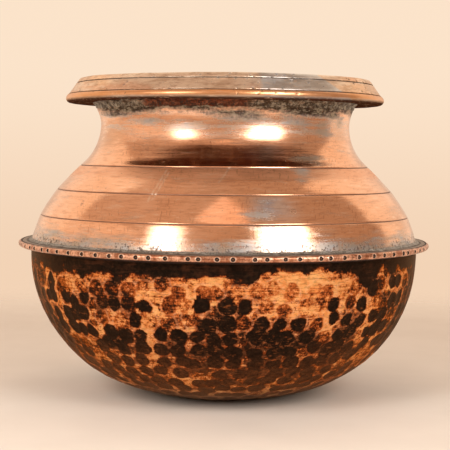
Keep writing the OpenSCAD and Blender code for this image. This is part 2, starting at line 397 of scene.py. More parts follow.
def bowl_copper(seam_z):
    """Warm worn copper, with dark patina in the hammer marks, under the seam and near the foot; painted
    shade just under the seam.
    """
    m = Maker("bowl_copper")
    fine = m.noise(1.0, 5, 0.75, shift=11.0)
    ragged = m.noise(2.6, 5, 0.7)
    blotch = m.noise(8.0, 5, 0.65, shift=3.0)
    broad = m.noise(34.0, 3, 0.5, shift=7.0)
    streak = m.noise(2.6, 5, 0.75, (0.1, 0.1, 1.0), 2.0)
    below = m.math("SUBTRACT", seam_z * MM, m.z)

    # patina in the hammer marks, in patches, and in a band under the seam; painted shade just under the
    # seam's overhang
    edge = m.uneven(m.attribute("edge"), (ragged, 3.6), (fine, 3.5), (blotch, 2.0))
    lines = m.noise(0.9, 3, 0.6, (0.03, 0.03, 1.0), 23.0)
    grain = m.plus(m.times(ragged, 0.5), m.times(m.plus(fine, lines), 0.25))
    mark = m.times(m.step(edge, 0.6, -0.7), m.step(m.uneven(m.attribute("tone"), (grain, 2.4)), 0.02, 0.9))
    zone = m.times(m.step(below, 0.04, 0.062), m.step(below, 0.098, 0.08))
    wear = m.plus(m.times(zone, 0.18), m.times(m.attribute("wear"), 0.62))
    wear = m.uneven(wear, (broad, 0.9), (ragged, 2.0), (streak, 1.7), (blotch, 1.7), (fine, 1.3))
    patina = m.step(wear, -0.3, 0.62)
    reach = m.plus(below, m.times(m.attribute("wear"), -0.007))
    hanging = m.noise(17.0, 3, 0.55, shift=31.0)
    reach = m.uneven(reach, (blotch, 0.0234), (fine, 0.0126), (hanging, 0.032))
    band = m.step(reach, 0.014, 0.0095)
    # painted shade: the strip right under the seam's overhang is always dark
    under = m.step(below, 0.007, 0.0045)
    clear = m.times(m.less(mark), m.less(patina, 0.93), m.less(m.most(band, under), 0.97))
    dark = m.less(clear)

    # bare copper where there is no patina, then red, brown and black as it thickens
    bright = m.mix(m.step(blotch, 0.35, 0.65), (0.98, 0.54, 0.21), (0.88, 0.32, 0.09))
    bright = m.layer(bright, streak, 0.42, 0.62, 0.5, (0.66, 0.25, 0.08))
    specks = m.most(m.times(m.step(lines, 0.56, 0.64), m.step(broad, 0.42, 0.6)), m.step(fine, 0.56, 0.68))
    bright = m.mix(m.times(specks, 0.75), bright, (0.26, 0.075, 0.026))
    colour = m.mix(m.step(dark, 0.04, 0.36), bright, (0.56, 0.14, 0.034))
    colour = m.mix(m.step(dark, 0.3, 0.62), colour, (0.2, 0.046, 0.014))
    # near-black patina colour, also the colour of the painted shade under the seam
    soot_and_shade = m.mix(m.step(ragged, 0.4, 0.7), (0.0068, 0.0045, 0.0032), (0.025, 0.013, 0.0075))
    thin = m.times(m.step(below, 0.046, 0.075), m.step(m.attribute("wear"), 0.6, -0.1))
    rusty = m.mix(m.step(m.plus(ragged, fine), 0.85, 1.15), (0.04, 0.015, 0.007), (0.17, 0.058, 0.021))
    soot_and_shade = m.mix(m.times(thin, 0.8), soot_and_shade, rusty)
    soot_and_shade = m.mix(m.times(m.step(m.plus(blotch, streak), 1.0, 1.25), band, 0.7), soot_and_shade, (0.07, 0.026, 0.013))
    colour = m.mix(m.step(dark, 0.56, 0.86), colour, soot_and_shade)

    # rubbed rims round the marks with painted highlights, fine grit with painted glints, and a dull brown
    # foot
    raised = m.times(m.step(edge, 0.2, 0.9), m.step(edge, 2.2, 1.3))
    rubbed_and_highlit = m.times(raised, m.step(m.plus(fine, ragged), 0.92, 1.1), m.less(band), m.less(zone, 0.75))
    # the rims are worn bright and also carry a painted highlight
    rim = m.mix(m.step(dark, 0.5, 0.9), (1.0, 0.55, 0.3), (0.62, 0.2, 0.075))
    colour = m.mix(m.times(rubbed_and_highlit, 0.65), colour, rim)
    grit = m.noise(1.3, 3, 0.65, (0.35, 0.35, 1.0), 37.0)
    darker = m.mix(0.6, colour, (0.03, 0.009, 0.004))
    colour = m.layer(colour, grit, 0.52, 0.62, 0.45, darker)
    # painted glints: pale light-copper specks where the patina is thin; the same specks take a red tone on
    # clear copper below
    pale = m.step(grit, 0.46, 0.34)
    colour = m.mix(m.times(pale, m.step(dark, 0.5, 0.2), 0.45), colour, (1.0, 0.64, 0.32))
    clear_of_band = m.times(m.less(band), m.step(m.plus(blotch, m.times(broad, 0.5)), 0.72, 0.86))
    colour = m.mix(m.times(pale, clear_of_band, 0.3), colour, (0.56, 0.165, 0.05))
    # darker, duller brown towards the foot
    foot = m.times(m.step(below, 0.082, 0.098), m.step(broad, 0.2, 0.5, 0.75, 0.95))
    foot_brown = m.mix(m.step(streak, 0.4, 0.6), (0.085, 0.043, 0.023), (0.19, 0.1, 0.052))
    colour = m.mix(foot, colour, foot_brown)

    roughness = m.plus(m.step(dark, 0.1, 0.9, 0.33, 0.44), m.times(fine, 0.1), m.times(foot, 0.12))
    metallic = m.less(m.most(m.step(dark, 0.45, 0.95, 0.0, 0.35), m.times(foot, 0.7)))
    normal = m.bump(fine, 0.14)
    normal = m.bump(ragged, 0.22, m.bump(streak, 0.22, normal))
    return m.finish(colour, roughness, metallic, normal, specular=0.15, tint=(0.95, 0.62, 0.4, 1.0))


def seam_copper():
    """The rolled seam: pale worn copper, dirt in the punch marks, painted highlights on their rims,
    painted shade under it against the bowl.
    """
    m = Maker("seam_copper")
    blotch = m.noise(6.0, 4, 0.65)
    fine = m.noise(1.3, 4, 0.7, shift=4.0)
    colour = m.mix(m.step(blotch, 0.38, 0.62), (0.86, 0.5, 0.34), (0.44, 0.18, 0.1))
    colour = m.layer(colour, fine, 0.5, 0.62, 0.8, (0.2, 0.07, 0.035))
    pit, rim = m.attribute("pit"), m.attribute("rim")
    # the raised rims round the punch marks: worn bright, with a painted highlight
    rubbed_and_highlit = m.times(rim, m.step(m.plus(blotch, fine), 0.84, 1.12, 0.15, 1.0))
    colour = m.mix(rubbed_and_highlit, colour, (0.99, 0.76, 0.6))
    hole = m.step(pit, 0.02, 0.18)
    bottom = m.mix(m.step(pit, 0.8, 0.97), (0.014, 0.007, 0.005), (0.26, 0.105, 0.055))
    colour = m.mix(hole, colour, bottom)
    # painted shade: the roll's underside against the bowl is painted near black
    darkening = m.step(m.uneven(m.attribute("darkening"), (fine, 1.0)), 0.35, 0.75)
    colour = m.mix(darkening, colour, (0.03, 0.014, 0.009))
    tin = m.step(m.uneven(m.attribute("tin"), (blotch, 1.2)), 0.45, 0.7)
    colour = m.mix(m.times(tin, 0.85), colour, (0.36, 0.3, 0.25))
    dull = m.most(hole, darkening)
    roughness = m.plus(m.step(dull, 0, 1, 0.27, 0.6), m.times(fine, 0.1))
    return m.finish(colour, roughness, m.less(dull, 0.5), m.bump(fine, 0.14))


def shell_copper(seam_z, neck_top, cuts):
    """Polished reddish copper with turning lines, and tin and dirt at the seam and under the lip."""
    m = Maker("shell_copper")
    rings = m.rings(0.8, 3.0)
    wide_rings = m.rings(6.0, 2.0, 3.0)
    smear = m.noise(5.0, 5, 0.65, (0.16, 0.16, 1.2), 2.0)
    blotch = m.noise(11.0, 4, 0.6, (1, 1, 1.6), 2.0)
    broad = m.noise(34.0, 3, 0.55, shift=9.0)
    fine = m.noise(1.6, 4, 0.65, shift=6.0)

    colour = m.mix(m.step(broad, 0.3, 0.7), (0.94, 0.545, 0.35), (0.9, 0.48, 0.28))
    colour = m.layer(colour, wide_rings, 0.5, 0.7, 0.2, (0.74, 0.38, 0.22))
    dull = m.step(m.uneven(m.attribute("dull"), (smear, 1.2), (fine, 0.4)), 0.1, 0.9)
    colour = m.mix(m.times(dull, 0.8), colour, (0.6, 0.33, 0.19))
    brushed = m.noise(1.4, 4, 0.7, (0.12, 0.12, 1.0), 43.0)
    colour = m.layer(colour, brushed, 0.5, 0.64, 0.45, (0.62, 0.31, 0.18))
    colour = m.layer(colour, brushed, 0.45, 0.33, 0.4, (1.0, 0.74, 0.57))
    seam_up = m.math("SUBTRACT", m.z, seam_z * MM)
    neck_down = m.math("SUBTRACT", neck_top * MM, m.z)
    low_tin = m.times(m.step(m.uneven(seam_up, (smear, -0.03)), 0.016, 0.003),
                      m.step(broad, 0.38, 0.55, 0.6, 1.0))
    patch = m.step(m.uneven(m.attribute("tin"), (smear, 2.2), (fine, 0.5)), 0.1, 0.95)
    wiped = m.step(m.plus(smear, m.times(broad, 0.4)), 0.6, 0.8)
    wiped = m.times(m.step(neck_down, 0.03, 0.012), wiped, 0.5)
    colour = m.mix(wiped, colour, (0.96, 0.74, 0.62))
    tin = m.most(m.times(low_tin, 0.95), m.times(patch, 0.85))
    grey = m.mix(m.step(blotch, 0.35, 0.65), (0.43, 0.46, 0.48), (0.47, 0.4, 0.33))
    colour = m.mix(tin, colour, grey)

    cut = m.lines_cut(cuts)
    reach = m.uneven(neck_down, (fine, -0.01), (smear, -0.016))
    reach = m.plus(reach, m.times(m.attribute("tin"), -0.008))
    crust = m.step(reach, 0.0075, -0.001)
    foot = m.step(m.uneven(seam_up, (fine, -0.003)), 0.0042, 0.003)
    crumbs = m.times(m.step(m.plus(fine, m.times(m.step(seam_up, 0.012, 0.003), 0.1)), 0.6, 0.68),
                     m.step(seam_up, 0.014, 0.006), m.step(broad, 0.36, 0.52, 0.25, 0.85))
    stain = m.times(m.step(m.attribute("stain"), 0.3, 0.7), m.step(rings, 0.35, 0.6), 0.8)
    flakes = m.noise(2.6, 5, 0.8, (0.45, 0.45, 1.2), 15.0)
    rough_grey = m.mix(m.step(flakes, 0.46, 0.6), (0.045, 0.026, 0.015), (0.38, 0.33, 0.24))
    colour = m.mix(crust, colour, rough_grey)
    ring = m.add("VectorMath", {0: m.place, 1: RING_MARK}, operation="DISTANCE").outputs["Value"]
    ring = m.step(m.math("ABSOLUTE", m.math("SUBTRACT", ring, RING_RADIUS)), 0.0007, 0.0003)
    stain = m.most(stain, m.times(ring, 0.7))
    spot = m.times(m.step(m.noise(1.5, 1, 0.5, shift=21.0), 0.765, 0.8), 0.8)
    darkening = m.most(m.times(cut, 0.92), m.times(foot, 0.7), crumbs, spot, stain)
    colour = m.mix(darkening, colour, m.mix(cut, (0.06, 0.026, 0.014), (0.115, 0.038, 0.018)))
    scratch = m.times(m.attribute("scratch"), 0.6)
    colour = m.mix(scratch, colour, (0.98, 0.8, 0.66))
    hair = m.step(m.noise(0.9, 2, 0.6, (0.9, 0.04, 0.22), 51.0), 0.6, 0.66)
    hair = m.most(hair, m.step(m.noise(0.9, 2, 0.6, (0.2, 0.3, 0.9), 57.0), 0.64, 0.7))
    colour = m.mix(m.times(hair, m.step(broad, 0.4, 0.6), 0.45), colour, (0.5, 0.23, 0.13))

    # a satin band under the top line, so that it doesn't mirror the lip's dark underside
    under_cut = m.math("SUBTRACT", float(cuts[-1][1]) * MM, m.z)
    satin = m.times(m.step(under_cut, 0.0095, 0.0045), m.step(under_cut, 0.0, 0.0006))
    roughness = m.plus(m.step(tin, 0, 1, 0.085, 0.26), m.times(rings, 0.07), m.times(satin, 0.26),
                       m.times(m.most(darkening, crust), 0.35), m.step(smear, 0.45, 0.7, 0.0, 0.05),
                       m.step(neck_down, 0.034, 0.02, 0.0, 0.1))
    normal = m.bump(rings, 0.022)
    normal = m.bump(m.noise(2.6, 2, 0.5, shift=8.0), 0.012, normal)
    normal = m.bump(m.times(fine, m.most(m.times(tin, 0.4), crust)), 0.2, normal)
    return m.finish(colour, roughness, m.less(m.most(darkening, m.times(crust, 0.8)), 0.6), normal)


def lip_bronze(cuts):
    """The lip's browner cast metal: turned, worn bright on its edges, finely pitted; painted shade
    underneath, a painted grey reflection, painted glints.
    """
    m = Maker("lip_bronze")
    rings = m.rings(0.8)
    blotch = m.noise(16.0, 4, 0.6)
    broad = m.noise(60.0, 2, 0.5, shift=4.0)
    pores = m.step(m.noise(0.95, 1, 0.5, shift=13.0), 0.7, 0.75)
    pores = m.times(pores, m.step(m.noise(22.0, 2, 0.5, shift=17.0), 0.45, 0.62))
    worn = m.step(m.uneven(m.attribute("worn"), (broad, 0.9), (blotch, 0.6)), 0.3, 0.7)
    colour = m.mix(worn, (0.86, 0.54, 0.32), (0.9, 0.72, 0.57))
    smear = m.noise(7.0, 5, 0.65, (0.3, 0.3, 1.2), 5.0)
    colour = m.layer(colour, smear, 0.45, 0.62, 0.55, (0.48, 0.31, 0.2))
    rust = m.noise(20.0, 4, 0.6, (0.5, 0.5, 1.5), 27.0)
    colour = m.layer(colour, rust, 0.52, 0.66, 0.6, (0.74, 0.37, 0.22))
    polish = m.noise(9.0, 4, 0.7, (0.2, 0.2, 2.0), 33.0)
    colour = m.layer(colour, polish, 0.52, 0.64, 0.6, (0.97, 0.83, 0.68))
    colour = m.mix(m.times(m.attribute("between"), 0.15), colour, (0.4, 0.29, 0.22))
    grit = m.noise(1.5, 3, 0.7, (0.25, 0.25, 1.0), 41.0)
    colour = m.layer(colour, grit, 0.52, 0.64, 0.45, (0.38, 0.21, 0.12))
    # painted glints: pale specks on the lip
    colour = m.layer(colour, grit, 0.44, 0.32, 0.4, (1.0, 0.84, 0.66))
    # painted reflection: a blue-grey patch on the lip's slope, to the right of front
    grey = m.step(m.uneven(m.attribute("grey"), (smear, 0.7), (blotch, 0.5)), 0.35, 0.75)
    grey_reflection_colour = m.mix(m.step(smear, 0.4, 0.6), (0.66, 0.68, 0.7), (0.44, 0.43, 0.42))
    colour = m.mix(m.times(grey, 0.8), colour, grey_reflection_colour)
    colour = m.mix(m.times(m.attribute("low"), 0.85), colour, (0.76, 0.36, 0.15))
    # painted shade: the lip's underside is painted near black; the pits are dark with dirt
    under = m.attribute("under")
    soot_and_shade = m.most(m.times(under, m.step(blotch, 0.2, 0.7, 0.93, 1.0)), m.times(m.attribute("pit"), 0.9))
    cut = m.times(m.lines_cut(cuts), m.less(under))
    dark = m.most(soot_and_shade, m.times(cut, 0.92), m.times(pores, 0.85))
    grime_and_shade_colour = m.times(under, m.step(blotch, 0.35, 0.7))
    grime_and_shade_colour = m.mix(grime_and_shade_colour, (0.026, 0.012, 0.007), (0.072, 0.027, 0.015))
    colour = m.mix(dark, colour, grime_and_shade_colour)
    scratch = m.times(m.step(m.noise(0.8, 2, 0.7, (0.05, 0.6, 0.9), 19.0), 0.6, 0.66), 0.35)
    colour = m.mix(scratch, colour, (0.9, 0.66, 0.46))
    roughness = m.plus(m.step(dark, 0, 1, 0.22, 0.55), m.times(rings, 0.08), m.times(blotch, 0.08))
    normal = m.bump(rings, 0.02)
    normal = m.bump(m.less(pores), 0.18, normal)
    normal = m.bump(m.noise(5.0, 3, 0.5, shift=2.0), 0.04, normal)
    holes = m.most(m.attribute("pit"), m.times(cut, 0.95), pores)
    metallic = m.less(m.most(m.times(holes, 0.8), under))
    return m.finish(colour, roughness, metallic, normal, specular=0.0)


def tin_solder():
    """Lumpy grey tin with dirt in its hollows."""
    m = Maker("tin_solder")
    lump = m.noise(3.2, 5, 0.7)
    fine = m.noise(1.2, 4, 0.7, shift=3.0)
    broad = m.noise(26.0, 2, 0.5, shift=7.0)
    colour = m.mix(m.step(lump, 0.4, 0.64), (0.1, 0.068, 0.042), (0.47, 0.42, 0.33))
    bare = m.step(m.uneven(m.attribute("bare"), (broad, 0.8), (lump, 0.6)), 0.4, 0.65)
    lumps = m.step(lump, 0.35, 0.65)
    red = m.mix(lumps, (0.085, 0.022, 0.011), (0.26, 0.07, 0.026))
    colour = m.mix(m.times(bare, 0.9), colour, red)
    pale = m.mix(lumps, (0.3, 0.27, 0.23), (0.46, 0.46, 0.44))
    colour = m.mix(m.attribute("wiped"), colour, pale)
    soil = m.step(m.uneven(m.attribute("soil"), (broad, 0.9), (lump, 1.4)), 0.35, 0.75)
    colour = m.mix(m.times(soil, 0.9), colour, (0.05, 0.032, 0.022))
    colour = m.layer(colour, fine, 0.53, 0.42, 0.85, (0.03, 0.018, 0.012))
    roughness = m.step(lump, 0.2, 0.8, 0.55, 0.34)
    normal = m.bump(fine, 0.25, m.bump(lump, 0.5))
    return m.finish(colour, roughness, m.step(fine, 0.38, 0.55, 0.3, 0.85), normal)


def tin_lining():
    """The tinned inside: dull wiped grey, browner low down."""
    m = Maker("tin_lining")
    wipe = m.noise(14.0, 4, 0.6, (1, 1, 0.5))
    stain = m.noise(40.0, 3, 0.55, shift=5.0)
    fine = m.noise(2.0, 3, 0.6, shift=2.0)
    colour = m.mix(m.step(wipe, 0.3, 0.7), (0.52, 0.5, 0.46), (0.36, 0.33, 0.29))
    low = m.step(m.z, 0.075, 0.01, 0.0, 0.7)
    colour = m.mix(m.times(m.most(low, m.step(stain, 0.52, 0.68)), 0.75), colour, (0.25, 0.16, 0.1))
    colour = m.layer(colour, fine, 0.64, 0.7, 0.6, (0.1, 0.06, 0.04))
    return m.finish(colour, m.step(wipe, 0.3, 0.7, 0.34, 0.5), m.step(stain, 0.4, 0.7, 0.85, 0.6),
                    m.bump(wipe, 0.15, m.bump(fine, 0.06)))


# ---- pieces

HAMMER_ROW = 10.2  # mm between rows of hammer marks, along the bowl's wall
HAMMER_PITCH = 11.6  # mm between marks in a row
HAMMER_FIRST = 16.5  # mm from the seam to the first row
HAMMER_LAST = 14.0  # mm from the foot's middle to the last row
MARK_RADIUS = (4.5, 5.7)  # mm, least and most
MARK_DEPTH = (0.28, 0.5)  # mm, least and most
DARK_SHARE = (0.25, 0.55, 0.80, 0.95)  # of the marks in the first rows; the last holds for the rest
MARK_REACH = 6.0  # mm outside a mark's edge that its distance is worked out for
COLUMNS = 640  # points round the bowl and the shell

# Spots are azimuth in degrees, height, half width and half height in mm, and strength.
# Where the bowl's patina is thick, and where it is rubbed away
PATINA = ((10, 44, 62, 12, 0.42), (16, 50, 25, 7, 0.9), (-68, 66, 32, 30, 0.55),
          (70, 66, 30, 30, 0.55), (-1, 68, 9, 9, 0.9), (43, 88, 8, 8, 1.5),
          (38, 60, 9, 10, 0.6), (-46, 72, 22, 6, 0.35), (-34, 48, 9, 8, 0.7), (4, 88, 8, 4, 0.9),
          (-28, 72, 7, 7, 0.5), (27, 87, 5, 3, 0.8), (-30, 87, 6, 4, 0.8), (57, 75, 14, 6, 0.4),
          (-14, 95, 40, 3, 1.0), (-55, 92, 24, 6, 0.5))
RUBBED = ((22, 85, 36, 8, 1.1), (20, 71, 32, 6, 0.6), (-22, 49, 5, 16, 1.2), (-10, 79, 20, 7, 0.6),
          (-32, 61, 7, 5, 0.7), (31, 56, 5, 9, 0.7), (50, 60, 14, 7, 0.6), (-45, 84, 25, 4, 0.2),
          (-45, 34, 26, 10, 0.5), (55, 38, 20, 12, 0.6))


def hammer_marks(section, way):
    """[x, y, z, radius, depth, tone] of each hammer mark; tone is how dark its patina is."""
    rng = np.random.default_rng(41)
    marks, below, row = [], HAMMER_FIRST, 0
    while below < way[-1] - HAMMER_LAST:
        at = way[-1] - below
        r = np.interp(at, way, section[:, 0])
        count = max(6, round(2 * math.pi * r / HAMMER_PITCH))
        start = rng.uniform(0, 1)
        for k in range(count):
            turn = 2 * math.pi * (k + start + rng.normal(0, 0.14)) / count
            slip = rng.normal(0, 1.1)
            rr, zz = np.interp(at + slip, way, section[:, 0]), np.interp(at + slip, way, section[:, 1])
            chance = DARK_SHARE[min(row, len(DARK_SHARE) - 1)]
            marks.append((rr * math.cos(turn), rr * math.sin(turn), zz, rng.uniform(*MARK_RADIUS),
                          rng.uniform(*MARK_DEPTH), chance))
        below += HAMMER_ROW
        row += 1
    marks = np.array(marks)
    wear = bowl_wear(marks[:, :3])
    dark = rng.random(len(marks)) < marks[:, 5] + 0.5 * wear
    share = rng.random(len(marks))
    light = 0.22 + 0.42 * share + 0.25 * np.clip(wear, -0.8, 0)
    marks[:, 5] = np.where(dark, 0.90 + 0.10 * share, light)
    return marks


def bowl_wear(points):
    """Above 0 where the patina is thick, and below 0 where it is rubbed away."""
    behind = smooth(np.abs(from_front(points)), 60, 80)
    return patches(points, PATINA) - patches(points, RUBBED) + 0.45 * behind * waves(points, 75, 16, 16)


def hammered(points, marks):
    """The marks' depth at each point, the distance outside the nearest mark's edge, and its tone."""
    shape = points.shape[:2]
    columns = shape[1]
    depth, edge, tone = np.zeros(shape), np.full(shape, MARK_REACH), np.zeros(shape)
    height = points[:, 0, 2]
    radius = np.hypot(points[:, 0, 0], points[:, 0, 1])
    for x, y, z, size, deep, dark in marks:
        near = np.nonzero(np.hypot(radius - math.hypot(x, y), height - z) < size + MARK_REACH)[0]
        if len(near) == 0:
            continue
        rr = max(radius[near].min(), 4)
        reach = min(columns // 2 - 1, math.ceil((size + MARK_REACH) / rr * columns / (2 * math.pi)))
        mid = round(math.atan2(y, x) / (2 * math.pi) * columns)
        cols = (mid + np.arange(-reach, reach + 1)) % columns
        block = np.ix_(near, cols)
        d = np.linalg.norm(points[block] - (x, y, z), axis=-1)
        depth[block] = np.maximum(depth[block], deep * np.clip(1 - (d / size) ** 2, 0, 1))
        gap = d - size
        closer = gap < edge[block]
        edge[block] = np.where(closer, gap, edge[block])
        tone[block] = np.where(closer, dark, tone[block])
    return depth, edge, tone


def make_bowl(places, materials):
    outer = resample(places, 1.85)
    lining = resample(inner(places, BOWL_T)[::-1], 6.5)
    section = np.concatenate([outer, lining])
    points = turned(section[:, None], COLUMNS)
    out = points[:len(outer)]
    way = along(outer)
    marks = hammer_marks(outer, way)
    depth = hammered(out, marks)[0]
    bent = out + 0.75 * np.stack([waves(out, 8.5, 30, 14 + k) for k in range(3)], -1)
    edge, tone = hammered(bent, marks)[1:]
    fade = smooth(way[-1] - way, 1, 14) * smooth(way, FOOT_R - 4, FOOT_R + 12)
    uneven = 0.16 * waves(out, 46, 24, 5) + 0.22 * waves(out, 120, 12, 6) - 0.25
    lift = np.zeros(points.shape[:2])
    lift[:len(outer)] = (uneven - depth) * fade[:, None]
    fade = smooth(lining[0, 1] - lining[:, 1], 2, 14) * smooth(lining[:, 0], 4, 30)
    lift[len(outer):] = 0.12 * waves(points[len(outer):], 16, 24, 8) * fade[:, None]
    inside = np.arange(len(section)) >= len(outer)
    rest = np.zeros((len(lining), COLUMNS))
    values = {"edge": np.concatenate([edge, rest + MARK_REACH]), "tone": np.concatenate([tone, rest]),
              "wear": np.concatenate([bowl_wear(out), rest])}
    return revolve("bowl_wall", section, COLUMNS, False, lift, values, materials, inside)


PUNCH_COLUMNS = 24  # points round the seam for each punch mark
PUNCH_RISE = 0.16  # mm that the metal stands up round a punch mark
PUNCH_MIDDLE = 0.45  # of the depth, left standing in a punch mark's middle


def make_seam(places, centre, materials):
    back = inner(places, BOWL_T)[::-1]
    loop = np.concatenate([places[:, :2], back, places[:1, :2]])
    rim = (centre[0] + ROLL_R, centre[1])
    section = resample(loop, 1.75, [(rim, 2.2, 0.36)])[:-1]
    columns = PUNCH_COLUMNS * PUNCHES
    points = turned(section[:, None], columns)
    lift = 0.10 * waves(points, 30, 18, 12)
    k = np.arange(PUNCHES)
    turn = (k + PUNCH_SCATTER * np.sin(np.radians(k * k * PUNCH_TURN))) * 2 * math.pi / PUNCHES
    r, z = section.T
    face = (r > centre[0] + 0.5)[:, None]
    angle = 2 * math.pi * np.arange(columns) / columns
    apart = (angle[:, None] - turn + math.pi) % (2 * math.pi) - math.pi
    across = np.abs(apart).min(1) * rim[0]
    up = ROLL_R * np.arctan2(z - centre[1], r - centre[0])
    d = np.hypot(across[None], up[:, None])
    half = PUNCH_W / 2
    pit = np.clip(1 - (d / half) ** 2, -0.5, 1) * face
    burr = np.exp(-((d - half - 0.30) / 0.36) ** 2) * face
    middle = PUNCH_MIDDLE * np.exp(-(d / 0.42) ** 2) * face
    lift += PUNCH_RISE * burr - PUNCH_DEPTH * (np.maximum(pit, 0) - middle)
    pit = 0.2 + 0.8 * pit * face
    # the roll's underside against the bowl, where shade is painted
    darkening = smooth(centre[1] - 1.2 - z, 0, 0.9) * smooth(rim[0] - 1.2 - r, 0, 1.0)
    tin = smooth(z, centre[1] + 0.5, centre[1] + ROLL_R) * smooth(rim[0] - 2.0 - r, 0, 1.2)
    corner = np.hypot(r - places[0, 0] + BOWL_T, z - places[0, 1]) < 4.0
    inside = corner & (r < places[0, 0] - 0.2) & (r < centre[0] - 4) & (z < centre[1])
    values = {"pit": pit, "rim": burr, "darkening": darkening[:, None], "tin": tin[:, None]}
    return revolve("seam_roll", section, columns, True, lift, values, materials, inside)


# Spots on the shell: tin, dulled copper, and small dark stains
TIN_PATCHES = (
    (-5, 183, 110, 6, 0.5), (-52, 192, 34, 6, 1.0), (38, 192, 46, 7, 1.0), (-10, 193, 26, 3, 0.6),
    (-32, 185, 14, 4, 0.75), (-24, 180, 9, 4, 0.6), (6, 187, 26, 5, 1.0), (32, 184, 17, 8, 0.9),
    (47, 180, 11, 8, 0.75), (62, 186, 9, 6, 0.6), (32, 160, 14, 3.5, 1.0), (28, 153, 7, 3, 0.8),
    (27, 148, 6, 3, 0.6), (12, 132, 8, 5, 0.85), (10, 127, 10, 5, 0.8), (13, 119, 13, 6, 0.7),
    (-40, 110, 40, 3, 0.9), (0, 110, 26, 4, 0.9), (30, 109, 34, 4, 0.9), (110, 192, 60, 7, 1.0),
    (200, 190, 70, 8, 0.9), (150, 165, 12, 5, 0.7), (215, 150, 14, 6, 0.7), (250, 130, 10, 6, 0.6),
    (170, 112, 60, 4, 0.8), (260, 112, 50, 4, 0.8), (100, 111, 40, 4, 0.8))
DULL = ((-62, 176, 30, 13, 0.9), (-20, 178, 30, 5, 0.5), (62, 178, 16, 12, 0.7),
        (-75, 125, 20, 18, 0.5), (66, 120, 26, 14, 0.6), (0, 137, 40, 8, 0.4),
        (130, 170, 30, 12, 0.7), (190, 130, 50, 14, 0.6), (240, 175, 30, 10, 0.6))
STAINS = ((-1, 174.2, 15, 1.0, 1.2), (-48.4, 132.1, 1.6, 2.2, 1.0), (96, 140, 1.5, 1.5, 1.0),
          (55, 158.5, 1.0, 0.8, 0.8), (-19, 107.5, 3, 0.8, 0.8), (160, 128, 2.0, 1.4, 0.9))
# Azimuth and height of each end of a scratch
SCRATCHES = ((-23.4, 134, -20.6, 154), (-21.8, 136, -19.6, 152), (-2, 146, 3, 158),
             (140, 130, 146, 150))
# m, where a small ring is stamped in the shoulder, and how large
RING_MARK, RING_RADIUS = (0.0416, -0.1132, 0.1297), 0.0016
SWELL = (163.3, 6.9, 8.3, 0.85)  # mm: height, half height below and above it, and lift
HOLLOW = (146.5, 5.5, 0.27)  # mm: height, half height and depth
CUT_WIDTH, CUT_DEPTH = 0.36, 0.42  # mm, of a line cut round the shell; half the width


def from_front(points):
    """Azimuth in degrees, 0 in front of the pot and 90 to its right."""
    return np.degrees(np.arctan2(points[..., 0], -points[..., 1]))


def patches(points, spots):
    """How strongly the nearest of these spots shows at each point."""
    total = np.zeros(points.shape[:-1])
    azimuth, radius = from_front(points), np.hypot(points[..., 0], points[..., 1])
    for turn, height, wide, high, strength in spots:
        across = np.radians((azimuth - turn + 180) % 360 - 180) * radius
        up = points[..., 2] - height
        total = np.maximum(total, strength * np.exp(-(across / wide) ** 2 - (up / high) ** 2))
    return total


def shell_stains(points):
    scratch = np.zeros(points.shape[:-1])
    azimuth, radius, height = from_front(points), np.hypot(points[..., 0], points[..., 1]), points[..., 2]
    for turn, low, turn_2, high in SCRATCHES:
        share = (height - low) / (high - low)
        off = np.radians(azimuth - turn - share * (turn_2 - turn)) * radius
        scratch = np.maximum(scratch, np.exp(-(off / 0.5) ** 2) * (share > 0) * (share < 1))
    return {"tin": patches(points, TIN_PATCHES), "dull": patches(points, DULL),
            "stain": patches(points, STAINS), "scratch": scratch}


def make_shell(shell, materials):
    side = shell["side"]
    outer = resample(side, 1.35, [(c, 0.8, 0.24) for c in shell["cuts"]], 30)
    lining = resample(inner(side, SHELL_T)[::-1], 5.0)
    section = np.concatenate([outer, lining])
    points = turned(section[:, None], COLUMNS)
    out, z = points[:len(outer)], outer[:, 1]
    low = shell["foot"][-1][1]
    free = smooth(z, low, low + 9) * smooth(shell["seat"][1] - z, 3, 12)
    lift = np.zeros(points.shape[:2])
    lift[:len(outer)] = free[:, None] * (0.055 * waves(out, 26, 20, 21) + 0.24 * waves(out, 110, 12, 22))
    front = smooth(-out[:, :, 1] / outer[:, :1], 0.1, 0.5)
    middle, below, above, rise = SWELL
    dent = rise * np.exp(-((z - middle) / np.where(z < middle, below, above)) ** 2)
    middle, high, depth = HOLLOW
    dent -= depth * np.exp(-((z - middle) / high) ** 2)
    lift[:len(outer)] += front * dent[:, None]
    for cut in shell["cuts"]:
        d = np.hypot(*(outer - cut).T)
        lift[:len(outer)] -= (CUT_DEPTH * np.exp(-(d / CUT_WIDTH) ** 2))[:, None]
    inside = np.arange(len(section)) >= len(outer)
    return revolve("shoulder_and_neck", section, COLUMNS, True, lift, shell_stains(points),
                   materials, inside)


LIP_COLUMNS = 900  # points round the lip and the solder
LIP_PITS = ((62, 7), (12, 9), (-25, 30), (140, 40), (230, 40))  # azimuth and spread of pits, degrees
LIP_CUT_WIDTH, LIP_CUT_DEPTH, LIP_CUT_RISE = 0.32, 0.36, 0.10  # mm; half the width
PIT_COUNT = 120
PIT_RADIUS, PIT_DEPTH = (0.5, 1.25), 0.35  # mm
LIP_WORN = ((0, 200, 95, 60, 1.0), (180, 200, 80, 60, 1.0))  # spots


